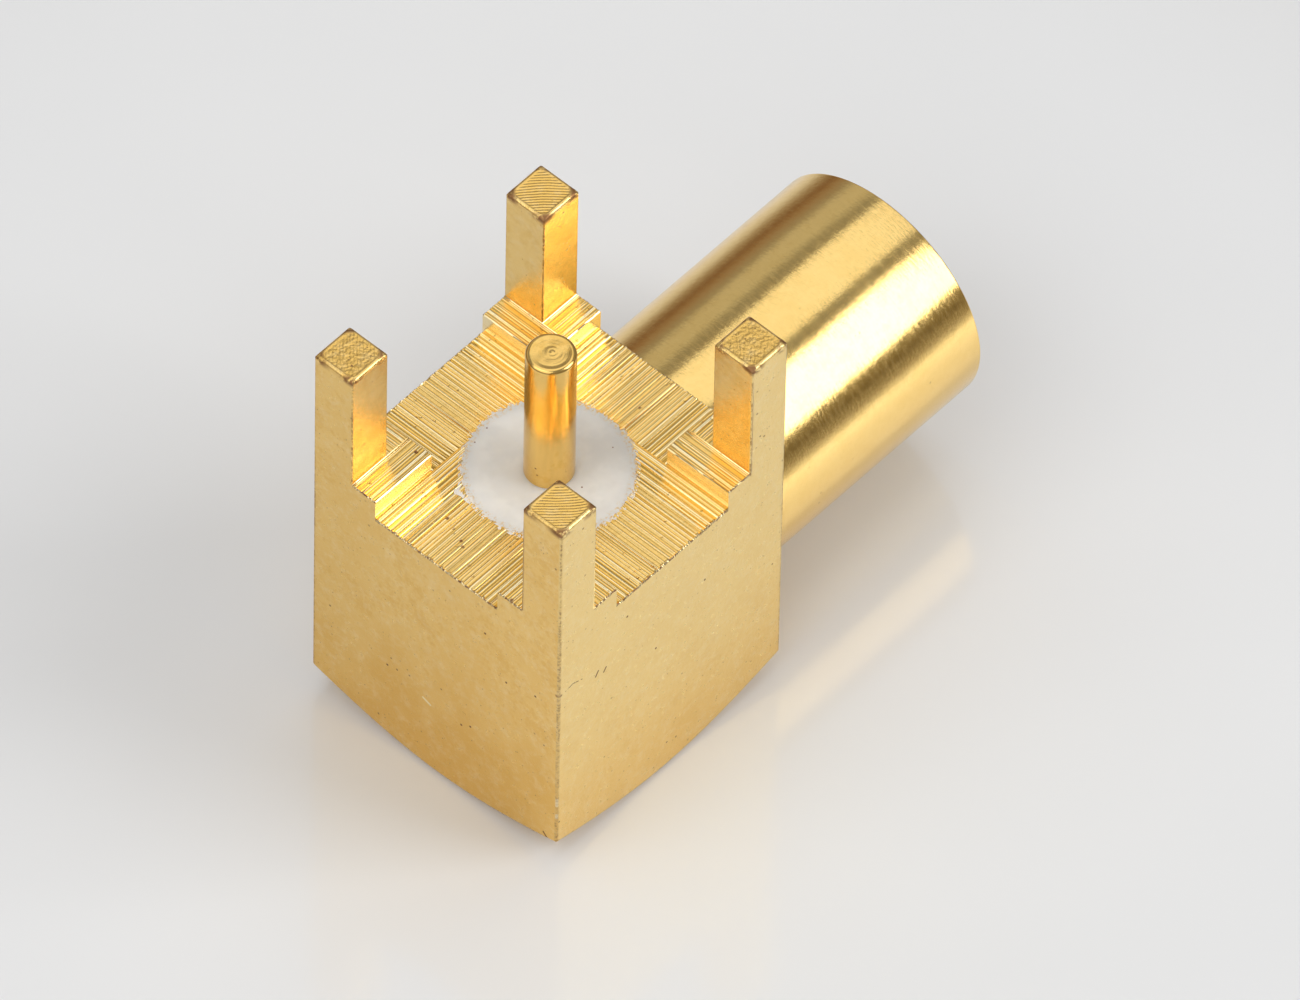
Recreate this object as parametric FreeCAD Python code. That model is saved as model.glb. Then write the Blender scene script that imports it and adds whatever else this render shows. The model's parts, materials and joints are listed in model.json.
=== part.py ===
import FreeCAD, Part
import math
import os

# Right-angle board-mount coaxial jack, in millimetres.
# It stands on the plain turned end of its body, with the four legs up.
# Origin: centre of that plain end, on the axis of the tail pin.
# +Z runs to the leg tips, +X runs along the barrel to its open mouth.

# Body: one piece of square bar, turned on the tail pin's axis and milled across
bar_width = 6.04
bar_corner_radius = 0.04
body_height = 6.7
end_face_diameter = 5.6
end_cone_angle = 22.0
pad_width = 1.52
pad_step = 0.5
leg_width = 0.94
leg_length = 3.0
leg_tip_chamfer = 0.08

# Bores in the body
jack_axis_drop = 3.5
spigot_length = 1.2
side_bore_diameter = 2.4
chamber_diameter = 2.6
drill_point_angle = 118.0

# Barrel: turned tube pressed into the side of the body
barrel_reach = 9.05
barrel_diameter = 4.95
barrel_wall = 0.725
barrel_rim_break = 0.04
spigot_wall = 0.35
spigot_lead = 0.1
mouth_lead_in = 0.25
mouth_land = 1.0
detent_groove_width = 0.75
detent_groove_depth = 0.22

# Insulator in the barrel: a rear flange that fills the bore and a front island
plug_depth = 4.05
island_recess = 1.65
plug_gap = 0.3
tine_gap = 0.15

# Centre contact: stem and slotted socket in front, a boss at the tail pin behind
contact_diameter = 0.95
contact_recess = 0.15
contact_tip_chamfer = 0.08
socket_diameter = 0.55
socket_depth = 2.2
socket_lead_in = 0.05
slot_width = 0.1
slot_length = 1.8
boss_diameter = 1.4
boss_overhang = 0.6

# Tail pin: thick outside, with a turned-down neck through the contact's boss
tail_pin_diameter = 0.95
tail_pin_height = 3.4
tail_pin_chamfer = 0.07
neck_diameter = 0.6
neck_tail = 0.1

# Insulator round the tail pin's neck, level with the milled channels
base_insulator_diameter = 3.25
base_insulator_thickness = 1.5

# How far a cutter runs past the surface that it cuts through
cutter_overrun = 1.0

# Places worked out from the sizes above
half_bar = bar_width / 2
channel_floor = body_height - pad_step
leg_top = body_height + leg_length
jack_axis_height = body_height - jack_axis_drop
spigot_end = half_bar - spigot_length
mouth_radius = barrel_diameter / 2 - barrel_wall
island_front = barrel_reach - island_recess
flange_front = barrel_reach - plug_depth
contact_tip = island_front - contact_recess
boss_radius = boss_diameter / 2
neck_radius = neck_diameter / 2


def vec(x, y, z):
    return FreeCAD.Vector(x, y, z)


def box(x0, x1, y0, y1, z0, z1):
    """A block between two opposite corners."""
    return Part.makeBox(x1 - x0, y1 - y0, z1 - z0, vec(x0, y0, z0))


def upright_rod(radius, z0, z1):
    """A round rod on the tail pin's axis."""
    return Part.makeCylinder(radius, z1 - z0, vec(0, 0, z0), vec(0, 0, 1))


def level_rod(radius, x0, x1):
    """A round rod on the barrel's axis."""
    return Part.makeCylinder(radius, x1 - x0, vec(x0, 0, jack_axis_height), vec(1, 0, 0))


def turned_upright(outline):
    """Turn an outline of (radius, height) points about the tail pin's axis."""
    points = [vec(radius, 0, z) for radius, z in outline]
    face = Part.Face(Part.makePolygon(points + points[:1]))
    return face.revolve(vec(0, 0, 0), vec(0, 0, 1), 360)


def turned_level(outline):
    """Turn an outline of (place along the barrel, radius) points about the barrel's axis."""
    points = [vec(x, 0, jack_axis_height + radius) for x, radius in outline]
    face = Part.Face(Part.makePolygon(points + points[:1]))
    return face.revolve(vec(0, 0, jack_axis_height), vec(1, 0, 0), 360)


def square_bar():
    """The bar stock over the full height, with its drawn corners."""
    bar = box(-half_bar, half_bar, -half_bar, half_bar, 0, leg_top)
    corners = [edge for edge in bar.Edges if abs(edge.tangentAt(edge.FirstParameter).z) > 0.5]
    return bar.makeFillet(bar_corner_radius, corners)


def turned_end_envelope():
    """What the lathe leaves at the plain end: a flat face inside a shallow cone."""
    flat = end_face_diameter / 2
    rise = bar_width * math.tan(math.radians(end_cone_angle))
    return turned_upright([
        (0, 0),
        (flat, 0),
        (flat + bar_width, rise),
        (flat + bar_width, leg_top + rise),
        (0, leg_top + rise),
    ])


def crossing_channels(width, floor):
    """Two milled channels of one width that cross on the tail pin's axis."""
    reach = half_bar + cutter_overrun
    top = leg_top + cutter_overrun
    along_x = box(-reach, reach, -width / 2, width / 2, floor, top)
    along_y = box(-width / 2, width / 2, -reach, reach, floor, top)
    return [along_x, along_y]


def tip_chamfer(side, edge, along_x):
    """A long three-sided cutter that bevels the leg tips along one line of edges.

    The edge lies at this distance from the middle, and side says which way the leg's metal ends.
    """
    size = leg_tip_chamfer
    spare = cutter_overrun
    reach = half_bar + cutter_overrun
    section = [
        (edge + side * spare, leg_top - size - spare),
        (edge + side * spare, leg_top + spare),
        (edge - side * (size + spare), leg_top + spare),
    ]
    if along_x:
        points = [vec(-reach, place, z) for place, z in section]
        sweep = vec(2 * reach, 0, 0)
    else:
        points = [vec(place, -reach, z) for place, z in section]
        sweep = vec(0, 2 * reach, 0)
    return Part.Face(Part.makePolygon(points + points[:1])).extrude(sweep)


def leg_tip_chamfers():
    """Cutters for all four edges of every leg tip."""
    inner = half_bar - leg_width
    lines = [(1, half_bar), (-1, inner), (-1, -half_bar), (1, -inner)]
    return [tip_chamfer(side, edge, along_x) for side, edge in lines for along_x in (True, False)]


def pin_chamber():
    """The drilled chamber under the base insulator, with its drill point."""
    radius = chamber_diameter / 2
    bottom = jack_axis_height - side_bore_diameter / 2
    point = radius / math.tan(math.radians(drill_point_angle / 2))
    top = channel_floor - base_insulator_thickness
    return turned_upright([(0, bottom - point), (radius, bottom), (radius, top), (0, top)])


def make_body_block():
    """Square body, seating pads and legs, milled and bored from one piece."""
    body = square_bar().common(turned_end_envelope())
    cutters = crossing_channels(bar_width - 2 * pad_width, channel_floor)
    cutters += crossing_channels(bar_width - 2 * leg_width, body_height)
    cutters += leg_tip_chamfers()
    insulator_seat = channel_floor - base_insulator_thickness
    cutters.append(upright_rod(base_insulator_diameter / 2, insulator_seat, leg_top))
    cutters.append(level_rod(mouth_radius + spigot_wall, spigot_end, half_bar + cutter_overrun))
    cutters.append(level_rod(side_bore_diameter / 2, 0, half_bar))
    cutters.append(pin_chamber())
    return body.cut(cutters)


def make_barrel():
    """Turned tube with a press spigot, a lead-in, a free land and the detent groove."""
    outer = barrel_diameter / 2
    spigot = mouth_radius + spigot_wall
    land_end = barrel_reach - mouth_lead_in - mouth_land
    groove_end = land_end - detent_groove_width
    groove = mouth_radius + detent_groove_depth
    return turned_level([
        (spigot_end, mouth_radius),
        (spigot_end, spigot - spigot_lead),
        (spigot_end + spigot_lead, spigot),
        (half_bar, spigot),
        (half_bar, outer),
        (barrel_reach - barrel_rim_break, outer),
        (barrel_reach, outer - barrel_rim_break),
        (barrel_reach, mouth_radius + mouth_lead_in),
        (barrel_reach - mouth_lead_in, mouth_radius),
        (land_end, mouth_radius),
        (land_end - detent_groove_depth, groove),
        (groove_end + detent_groove_depth, groove),
        (groove_end, mouth_radius),
    ])


def make_barrel_insulator():
    """Flange that fills the bore, and an island in front with room round the tines."""
    stem = contact_diameter / 2
    island = mouth_radius - plug_gap
    relief = stem + tine_gap
    return turned_level([
        (spigot_end, stem),
        (spigot_end, mouth_radius),
        (flange_front, mouth_radius),
        (flange_front, island),
        (island_front, island),
        (island_front, relief),
        (contact_tip - slot_length, relief),
        (contact_tip - slot_length, stem),
    ])


def make_socket_contact():
    """Turned centre contact: boss, stem and a socket sawn into four tines."""
    stem = contact_diameter / 2
    socket = socket_diameter / 2
    point = socket / math.tan(math.radians(drill_point_angle / 2))
    contact = turned_level([
        (-boss_overhang, 0),
        (-boss_overhang, boss_radius),
        (spigot_end, boss_radius),
        (spigot_end, stem),
        (contact_tip - contact_tip_chamfer, stem),
        (contact_tip, stem - contact_tip_chamfer),
        (contact_tip, socket + socket_lead_in),
        (contact_tip - socket_lead_in, socket),
        (contact_tip - socket_depth, socket),
        (contact_tip - socket_depth - point, 0),
    ])
    slot_start = contact_tip - slot_length
    slot_end = contact_tip + cutter_overrun
    reach = stem + cutter_overrun
    half_slot = slot_width / 2
    low, high = jack_axis_height - reach, jack_axis_height + reach
    upright_slot = box(slot_start, slot_end, -half_slot, half_slot, low, high)
    level_slot = box(slot_start, slot_end, -reach, reach,
                     jack_axis_height - half_slot, jack_axis_height + half_slot)
    cross_hole = upright_rod(neck_radius, jack_axis_height - boss_diameter,
                             jack_axis_height + boss_diameter)
    return contact.cut([upright_slot, level_slot, cross_hole])


def make_tail_pin():
    """Round solder pin whose neck goes down through the contact's cross hole."""
    radius = tail_pin_diameter / 2
    tip = channel_floor + tail_pin_height
    neck_end = jack_axis_height - boss_radius - neck_tail
    return turned_upright([
        (0, neck_end),
        (neck_radius, neck_end),
        (neck_radius, channel_floor),
        (radius, channel_floor),
        (radius, tip - tail_pin_chamfer),
        (radius - tail_pin_chamfer, tip),
        (0, tip),
    ])


def make_base_insulator():
    """Washer that fills the body's upper bore and holds the tail pin's neck."""
    seat = channel_floor - base_insulator_thickness
    washer = upright_rod(base_insulator_diameter / 2, seat, channel_floor)
    return washer.cut(upright_rod(neck_radius, seat, channel_floor))


PIECES = {
    "body_block": make_body_block,
    "barrel": make_barrel,
    "barrel_insulator": make_barrel_insulator,
    "socket_contact": make_socket_contact,
    "tail_pin": make_tail_pin,
    "base_insulator": make_base_insulator,
}

os.makedirs("parts", exist_ok=True)
for name, make in PIECES.items():
    shape = make()
    if not shape.isValid() or len(shape.Solids) != 1:
        raise ValueError(f"{name} isn't one valid solid")
    shape.Solids[0].exportStep(f"parts/{name}.step")
    extent = shape.BoundBox
    print(name, f"{shape.Volume:.3f} mm3",
          f"x {extent.XMin:.2f} to {extent.XMax:.2f}",
          f"y {extent.YMin:.2f} to {extent.YMax:.2f}",
          f"z {extent.ZMin:.2f} to {extent.ZMax:.2f}")
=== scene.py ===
import bpy
import bmesh
import json
import numpy as np
from bpy.props import FloatProperty, FloatVectorProperty, IntProperty, PointerProperty
from math import ceil, cos, pi, radians, sin, tan
from mathutils import Matrix, Vector


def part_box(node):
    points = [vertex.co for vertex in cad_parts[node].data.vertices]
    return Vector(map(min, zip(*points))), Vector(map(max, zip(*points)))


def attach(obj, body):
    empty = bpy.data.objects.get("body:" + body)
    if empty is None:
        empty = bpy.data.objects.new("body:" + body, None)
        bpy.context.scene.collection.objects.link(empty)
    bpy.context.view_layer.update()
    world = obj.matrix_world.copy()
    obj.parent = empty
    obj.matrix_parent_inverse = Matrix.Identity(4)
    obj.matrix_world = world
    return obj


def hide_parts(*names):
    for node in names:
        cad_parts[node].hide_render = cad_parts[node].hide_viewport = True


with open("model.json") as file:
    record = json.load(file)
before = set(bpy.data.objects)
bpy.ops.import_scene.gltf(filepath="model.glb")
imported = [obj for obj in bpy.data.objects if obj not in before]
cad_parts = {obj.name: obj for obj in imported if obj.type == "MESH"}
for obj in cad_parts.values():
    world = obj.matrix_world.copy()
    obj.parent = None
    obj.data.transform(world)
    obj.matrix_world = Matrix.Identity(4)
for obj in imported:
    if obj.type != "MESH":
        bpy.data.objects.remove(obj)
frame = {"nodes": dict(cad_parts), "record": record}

bl_info = {
    "name": "Right-angle coaxial jack",
    "version": (1, 0, 0),
    "blender": (4, 5, 0),
    "location": "View3D > Sidebar > Jack",
    "description": "Builds the gold plated board-mount jack over its packed frame, with its stage",
    "category": "Object",
}

# One millimetre in the scene's metres
MM = 0.001

# Points of a piece that lie closer than this are one point
WELD = 0.0002 * MM

# Edges that bend more than this are sharp
SHARP = radians(38)

# Radius of a rim that is out of reach, for a piece without torn metal on it
NO_RIM = 1.0

# The camera's picture is this many pixels wide, and its sensor this many millimetres
PICTURE_WIDTH = 1300
SENSOR_WIDTH = 36.0

# Seeds of the uneven rings on the pin's end and of the washer's torn rim
PIN_SEED = 3
WASHER_SEED = 5

# Wear on the two front faces, as places on the part in millimetres
FACE_PITS = [(-3.02, -1.21, 5.23), (-3.02, -1.74, 4.24), (-3.02, 1.17, 2.19),
             (-3.02, -0.66, 2.02), (-3.02, -0.88, 2.16), (-3.02, -2.45, 4.46),
             (-1.2, -3.02, 5.6), (-0.4, -3.02, 3.9), (0.9, -3.02, 4.7)]
CORNER_PIT = (-2.97, -2.97, 4.93)
HAIRLINE = [(-2.95, -3.02, 4.93), (-2.81, -3.02, 4.94), (-2.65, -3.02, 4.99), (-2.38, -3.02, 4.88)]
TICKS = [((-2.03, -3.02, 4.60), (-1.96, -3.02, 4.72)), ((-1.81, -3.02, 4.54), (-1.75, -3.02, 4.63)),
         ((-3.02, -2.70, 0.64), (-3.02, -2.80, 0.53))]
PALE_SCRATCHES = [((-3.02, 0.28, 2.00), (-3.02, 0.11, 1.93)), ((-3.0, -3.0, 1.86), (-3.0, -3.0, 1.66)),
                  ((-3.0, -3.0, 1.40), (-3.0, -3.0, 1.31))]

# Specks on the washer, in millimetres
SPECKS = [(-0.09, 1.45, 6.2), (-0.48, 1.39, 6.2), (1.14, -0.52, 6.2), (0.08, -0.73, 6.2)]

# Each softbox: its direction from the part, and half its width and height over its distance
SOFTBOXES = {
    "key": ((0.46, -0.686, 0.564), 0.26, 0.354),
    "top": ((0.0, 0.160, 0.987), 0.85, 0.385),
    "back": ((0.3, 0.80, 0.52), 0.9, 0.17),
    "fill": ((-0.77, -0.05, 0.63), 0.65, 0.5),
}
SOFTBOX_DISTANCE = 0.5


def length(name, description, millimetres, lowest=0.0):
    """A size property, given here in millimetres and kept in metres."""
    return FloatProperty(name=name, description=description, default=millimetres * MM, min=lowest,
                         subtype="DISTANCE", unit="LENGTH", precision=6)


def angle(name, description, degrees):
    """An angle property, given here in degrees and kept in radians."""
    return FloatProperty(name=name, description=description, default=radians(degrees),
                         subtype="ANGLE", unit="ROTATION")


def factor(name, description, default, highest=1.0):
    """A property without a unit."""
    return FloatProperty(name=name, description=description, default=default, min=0.0, max=highest)


def count(name, description, default, lowest=0):
    """A whole number."""
    return IntProperty(name=name, description=description, default=default, min=lowest)


def colour(name, description, default):
    """A colour property with alpha."""
    return FloatVectorProperty(name=name, description=description, default=(*default, 1.0),
                               size=4, min=0.0, max=1.0, subtype="COLOR")


def mount(name):
    """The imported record's mount of that name."""
    return next(m for m in frame["record"]["mounts"] if m["name"] == name)


def jack_height():
    """Height of the barrel's axis."""
    return mount("jack_bore")["pos_m"][2]


class BlockSettings(bpy.types.PropertyGroup):
    """The square body with its pads and legs."""

    corner_radius: length("Corner radius", "Drawn corners of the square bar", 0.04)
    end_face_radius: length("End face radius", "Flat part of the turned plain end", 2.8)
    end_cone_angle: angle("End cone angle", "Slope of the cone round the plain end", 22)
    pad_width: length("Pad width", "Side of a corner pad, with its leg", 1.52)
    leg_width: length("Leg width", "Side of a square leg", 0.94)
    tip_round: length("Tip round", "Rounded edge of the leg tips", 0.065)
    tip_corner: length("Tip corner", "Rounded corners of the leg tips, from above", 0.13)
    edge_break: length("Edge break", "Small bevel that tumbling leaves on sharp edges", 0.02)
    line_pitch: length("Milled line pitch", "Mean distance between milled lines", 0.062)
    line_width: length("Milled line width", "Half width of a common milled line", 0.010)
    line_depth: length("Milled line depth", "Depth of the deepest common milled line", 0.0092)
    burr_height: length("Burr height", "Ragged edge where the cutter leaves the metal", 0.05)
    fringe: length("Fringe", "Torn metal over the rim of the insulator", 0.065)
    burr_pitch: length("Burr pitch", "Distance between the teeth of that edge", 0.05)
    ring_pitch: length("Tip ring pitch", "Distance between turning marks on the leg tips", 0.062)
    ring_depth: length("Tip ring depth", "Depth of those marks", 0.005)
    columns: count("Columns", "Points across a channel", 560, 20)
    rows: count("Rows", "Points along a channel arm", 12, 6)
    seed: count("Seed", "Picks another set of milled lines", 11)


class BarrelSettings(bpy.types.PropertyGroup):
    """The turned tube in the body's side."""

    rim_round: length("Rim round", "Rounded outer edge of the mouth", 0.03)
    lead_in: length("Lead-in", "Bevel inside the mouth", 0.25)
    land: length("Land", "Straight bore between the lead-in and the groove", 1.0)
    groove_width: length("Groove width", "Width of the detent groove", 0.75)
    groove_depth: length("Groove depth", "Depth of the detent groove", 0.22)
    spigot_wall: length("Spigot wall", "Wall of the part pressed into the body", 0.35)
    segments: count("Segments", "Faces round the barrel", 220, 24)


class ContactSettings(bpy.types.PropertyGroup):
    """The tail pin and the centre contact."""

    tip_round: length("Tip round", "Rounded edge of the tail pin's end", 0.085)
    ring_depth: length("Ring depth", "Depth of the rings turned into the pin's end", 0.007)
    ring_pitch: length("Ring pitch", "Distance between those rings", 0.085)
    neck_radius: length("Neck radius", "Pin where it passes the insulator", 0.3)
    segments: count("Segments", "Faces round the pin", 96, 24)


class InsulatorSettings(bpy.types.PropertyGroup):
    """The two insulators."""

    overlap: length("Overlap", "How far the washer reaches under the torn rim", 0.03)
    sink: length("Sink", "How far the washer lies below the channel floor", 0.004)
    unevenness: length("Unevenness", "Height of the washer's waves", 0.006)
    fibre_length: length("Fibre length", "Torn fibres over the metal", 0.05)
    smear_length: length("Smear length", "Where the washer is smeared over the metal", 0.17)
    smear_turn: angle("Smear direction", "Direction of that smear from the pin", 152)
    torn_turn: angle("Torn side", "Side of the rim where the fibres are longest", 225)
    edge_round: length("Edge round", "Rounded edges of the island", 0.05)
    gap: length("Gap", "Free room between the island and the barrel", 0.3)
    relief_radius: length("Relief radius", "Room round the socket's tines", 0.625)
    stem_radius: length("Stem radius", "Hole that holds the contact", 0.475)
    relief_depth: length("Relief depth", "Depth of the room round the tines", 1.95)
    flange_front: length("Flange front", "Where the part that fills the bore ends", 5.0)
    segments: count("Segments", "Faces round the island", 128, 24)


class FinishSettings(bpy.types.PropertyGroup):
    """Colours of the finishes."""

    gold: colour("Gold", "Plating as it mirrors white", (0.95, 0.665, 0.24))
    # Painted light: this paler gold is laid on the face that looks along -y, where the key softbox
    # falls.
    key_lit_gold: colour("Pale gold", "Rubbed plating on the side left of the barrel", (0.94, 0.72, 0.31))
    # This colour is the plating where it is thick or tarnished, and also painted shade on the -x face
    # and toward the bottom.
    deep_gold: colour("Deep gold", "Plating where it is thick or tarnished", (0.84, 0.52, 0.13))
    # This colour is rubbed metal in the flecks and scratches, and painted highlight on the raised edges
    # of the milled lines and on the step walls; on the torn edges it is partly each.
    rubbed_and_highlight: colour("Rubbed", "Bright metal on ridges and in fresh scratches", (1.0, 0.85, 0.52))
    groove: colour("Groove", "Bottom of the milled lines, where gold mirrors gold", (0.78, 0.46, 0.09))
    tarnish: colour("Tarnish", "Brown in pits and along worn corners", (0.25, 0.10, 0.05))
    ptfe: colour("PTFE", "The insulators", (0.915, 0.885, 0.828))
    # Painted shade: this darker colour is laid on the sheet away from the part, in place of the light
    # falling off with distance.
    far_floor_shade: colour("Far floor", "The sheet further away", (0.44, 0.41, 0.37))
    floor: colour("Floor", "The pale sheet under the part", (0.850, 0.855, 0.860))


class StageSettings(bpy.types.PropertyGroup):
    """Camera, lamps and floor."""

    azimuth: angle("Azimuth", "Camera's direction round the part", -48.6102)
    elevation: angle("Elevation", "Camera's height above the horizon", 52.1813)
    roll: angle("Roll", "Camera's turn about its own axis", 1.237)
    distance: length("Distance", "From the camera to its target", 520.6)
    target_right: length("Target right", "Target's shift to the right in the picture", 1.826, -1.0)
    target_up: length("Target up", "Target's shift upward in the picture", -0.580, -1.0)
    target_height: length("Target height", "Height of the target on the pin's axis", 6.2)
    focal_pixels: factor("Focal length in pixels", "Focal length for a picture 1300 pixels wide",
                         28741.4564, 100000.0)
    room: factor("Room", "Light from the plain room", 0.28)
    key_level: factor("Key level", "Brightness of the key softbox", 3.7, 20.0)
    top_level: factor("Top level", "Brightness of the overhead softbox", 0.83, 20.0)
    fill_level: factor("Fill level", "Brightness of the softbox on the plain side", 1.0, 20.0)
    back_level: factor("Back level", "Brightness of the panel behind the part", 0.25, 20.0)
    floor_size: length("Floor size", "Half width of the floor", 600)
    pale_reach: length("Pale reach", "Where the floor starts to darken", 16)
    floor_roughness: factor("Floor roughness", "How blurred the floor mirrors", 0.12)


# Random heights

def lattice(rng, u, v):
    """Smooth random heights from -1 to 1 with a new value at each whole step of u and v."""
    u, v = np.broadcast_arrays(u - np.floor(np.min(u)), v - np.floor(np.min(v)))
    knots = rng.uniform(-1, 1, (int(ceil(u.max())) + 2, int(ceil(v.max())) + 2))
    i, j = u.astype(int), v.astype(int)
    a, b = u - i, v - j
    a, b = a * a * (3 - 2 * a), b * b * (3 - 2 * b)
    low = knots[i, j] * (1 - a) + knots[i + 1, j] * a
    high = knots[i, j + 1] * (1 - a) + knots[i + 1, j + 1] * a
    return low * (1 - b) + high * b


def tool_lines(rng, across, pitch):
    """Heights from -1 to 1 of straight uneven lines, as a cutter's teeth leave them."""
    lines = int(3 * np.ptp(across) / pitch) + 8
    places = np.min(across) - pitch + np.cumsum(rng.uniform(0.25, 0.95, lines)) * pitch
    return np.interp(across, places, rng.uniform(-1, 1, lines))


def cutter_marks(rng, across, pitch, width):
    """Heights of thin grooves, each with a raised edge, as one pass of a cutter leaves them."""
    grooves = int(1.3 * np.ptp(across) / pitch) + 4
    places = np.min(across) - pitch + np.cumsum(rng.uniform(0.4, 1.6, grooves)) * pitch
    height = np.zeros(across.shape)
    for place in places:
        depth, side = rng.uniform(0.2, 1.0), rng.choice([-1, 1])
        reach = width * rng.uniform(0.7, 1.5)
        height -= depth * np.exp(-((across - place) / reach) ** 2)
        height += 0.6 * depth * np.exp(-((across - place - 1.9 * side * reach) / reach) ** 2)
    return height


def edge_fade(distance, reach):
    """0 on an edge and 1 further in than reach."""
    return np.clip(distance / reach, 0, 1)


# Points and outlines

def toward(axis, sign):
    """The direction along an axis, or against it."""
    return sign * np.eye(3)[axis]


def at_height(points, z):
    """The same points at another height."""
    moved = points.copy()
    moved[:, 2] = z
    return moved


def rounded(place, radius, size, points):
    """Outline of a turned piece's outer edge, rounded by a size."""
    return [(place - size * (1 - sin(turn)), radius - size * (1 - cos(turn)))
            for turn in np.linspace(0, pi / 2, points)]


# Meshes

class Skin:
    """Collects grids of points, each with the number of its finish, into one mesh."""

    def __init__(self):
        self.points, self.faces, self.finishes, self.count = [], [], [], 0

    def add(self, points, faces, finish):
        """Add faces, given by the numbers of their corners among these points."""
        self.points.append(np.asarray(points, float).reshape(-1, 3))
        self.faces += [tuple(int(i) + self.count for i in face) for face in faces]
        self.finishes += [finish] * len(faces)
        self.count += len(self.points[-1])

    def grid(self, points, finish, facing=None, middle=None):
        """Add rows x columns of points as quads that face one way, or closed round a middle."""
        index = np.arange(points[..., 0].size).reshape(points.shape[:2])
        if facing is None:
            index = np.hstack([index, index[:, :1]])
        quads = np.stack([index[:-1, :-1], index[:-1, 1:], index[1:, 1:], index[1:, :-1]], -1)
        quads = quads.reshape(-1, 4)
        flat = points.reshape(-1, 3)
        a, b, c, d = (flat[quads[:, k]] for k in range(4))
        outward = a + b + c + d - 4 * middle if facing is None else facing
        if np.sum(np.cross(c - a, d - b) * outward) < 0:
            quads = quads[:, ::-1]
        self.add(flat, quads.tolist(), finish)

    def wall(self, rows, finish, facing):
        """Add the strips between rows of equally many points."""
        self.grid(np.stack(rows, 1), finish, facing)

    def fans(self, fine, coarse, picks, finish, facing):
        """Add the faces between a row of many points and one that has only the picked ones."""
        faces = [[*range(a, b + 1), len(fine) + k + 1, len(fine) + k]
                 for k, (a, b) in enumerate(zip(picks, picks[1:]))]
        if np.cross(fine[-1] - coarse[0], fine[0] - coarse[-1]) @ facing < 0:
            faces = [face[::-1] for face in faces]
        self.add(np.vstack([fine, coarse]), faces, finish)

    def turn(self, outline, segments, height=None, wobble=None):
        """Turn a closed outline of (place, radius) points: upright, or level at a height."""
        turns = np.linspace(0, 2 * pi, segments, endpoint=False)
        place, radius = (np.array(part)[:, None] for part in zip(*outline, outline[0]))
        shift = 0 if wobble is None else wobble(place, radius, turns[None, :])
        cosine, sine = np.cos(turns)[None, :], np.sin(turns)[None, :]
        place = place + shift + 0 * cosine
        if height is None:
            points = np.stack([radius * cosine, radius * sine, place], -1)
            middle = np.array([0, 0, np.mean(place)])
        else:
            points = np.stack([place, radius * sine, height + radius * cosine], -1)
            middle = np.array([np.mean(place), 0, height])
        self.grid(points, 0, middle=middle)

    def piece(self, node, finishes, slot):
        """Make the finished object that stands for a node and rides on the body."""
        name = node + "_finished"
        mesh = bpy.data.meshes.new(name)
        mesh.from_pydata(np.concatenate(self.points).tolist(), [], self.faces)
        mesh.polygons.foreach_set("material_index", self.finishes)
        work = bmesh.new()
        work.from_mesh(mesh)
        bmesh.ops.remove_doubles(work, verts=work.verts, dist=WELD)
        bmesh.ops.dissolve_degenerate(work, edges=work.edges, dist=WELD / 2)
        for face in work.faces:
            face.smooth = True
        for edge in work.edges:
            edge.smooth = not edge.is_manifold or edge.calc_face_angle() < SHARP
        work.to_mesh(mesh)
        work.free()
        for finish in finishes:
            mesh.materials.append(finish)
        made = bpy.data.objects.new(name, mesh)
        bpy.context.scene.collection.objects.link(made)
        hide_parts(node)
        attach(made, "root")


# Node materials

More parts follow.
